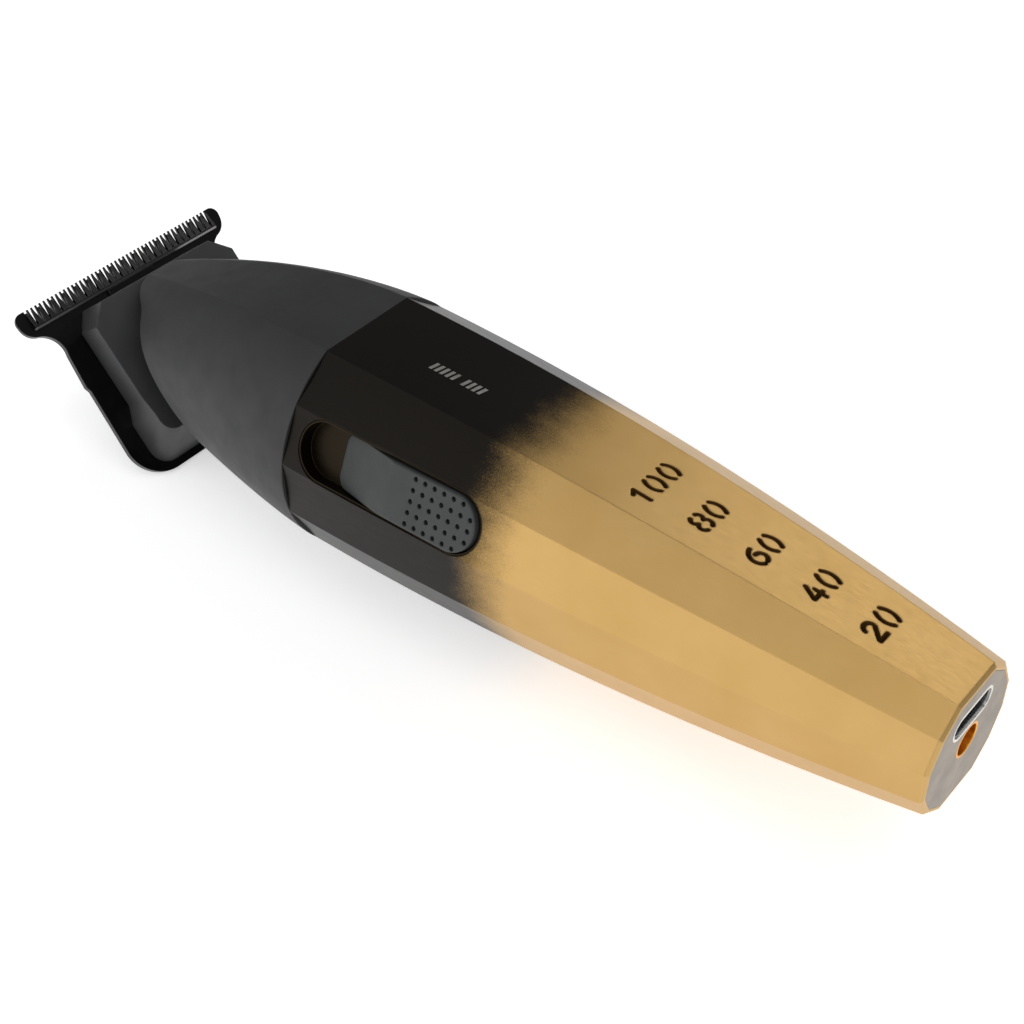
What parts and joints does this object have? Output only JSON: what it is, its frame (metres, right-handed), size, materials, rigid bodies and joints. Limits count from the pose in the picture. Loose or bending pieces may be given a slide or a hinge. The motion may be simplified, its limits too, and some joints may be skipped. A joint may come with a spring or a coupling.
{
  "type": "beard trimmer",
  "caption": "Cordless T-blade beard trimmer with a faceted barrel fading from black to gold, a rounded head shroud, a slide switch and cut-out charge numerals.",
  "frame": {"origin": "centre of the flat tail face, on the axis of the round locating hole", "axes": "+X runs from the tail to the blade, +Y towards the side with the power switch, +Z out of the wide facet with the charge numerals"},
  "size_m": [0.1601, 0.0434, 0.0405],
  "materials": {
    "housing_gold": "anodised satin, fading from gold at the tail to black at the seam",
    "cap_beige": "satin",
    "gold_insert": "polished",
    "steel": "brushed",
    "socket_chrome": "polished",
    "black_plastic": "matte",
    "shroud_grey": "matte, lightly grained",
    "switch_grey": "soft-touch",
    "black_well": "satin black",
    "blade_black": "gloss black coating on steel",
    "board_green": "solder mask",
    "chip_black": "moulded",
    "smoked_guide": "smoked translucent",
    "led_white": "diffusing",
    "cell_wrap": "shrink sleeve",
    "nickel": "rolled",
    "frame_grey": "matte moulded",
    "copper": "enamelled windings",
    "wire_red": "insulated",
    "white_plastic": "moulded"
  },
  "bodies": {
    "handpiece": {"barrel_housing": "housing_gold", "end_cap": "cap_beige", "tail_cup": "gold_insert", "socket_bezel": "socket_chrome", "socket_shell": "steel", "socket_tongue": "chip_black", "charge_board": "board_green", "charge_chip": "chip_black", "light_guide": "smoked_guide", "display_board": "board_green", "display_leds": "led_white", "battery_cell": "cell_wrap", "battery_tab_rear": "nickel", "battery_tab_front": "nickel", "main_board": "board_green", "board_chips": "chip_black", "switch_well": "black_well", "switch_body": "white_plastic", "switch_pins": "nickel", "chassis": "black_plastic", "seam_ring": "black_plastic", "head_shroud": "shroud_grey", "motor_can": "steel", "motor_end_bell": "white_plastic", "motor_terminals": "nickel", "motor_bracket": "steel", "motor_screws": "steel", "fixed_blade": "blade_black", "cutter_spring": "steel", "blade_screws": "steel", "head_frame": "frame_grey", "battery_lead": "wire_red", "motor_leads": "wire_red"},
    "power_switch": {"switch_slider": "switch_grey", "switch_wiper": "nickel"},
    "cutter": {"moving_blade": "blade_black", "cutter_yoke": "white_plastic"},
    "rotor": {"motor_shaft": "steel", "motor_rotor": "copper", "eccentric": "white_plastic"}
  },
  "joints": [
    {"name": "switch_slide", "type": "slide", "parent": "handpiece", "child": "power_switch", "axis": [0.9991, 0.0395, 0.0149], "range_m": [0, 0.0035]},
    {"name": "cutter_slide", "type": "slide", "parent": "handpiece", "child": "cutter", "axis": [0, 1, 0], "range_m": [-0.0012, 0.0012]},
    {"name": "motor_spin", "type": "hinge", "parent": "handpiece", "child": "rotor", "pos_m": [0.1, 0, 0], "axis": [1, 0, 0], "continuous": true}
  ]
}
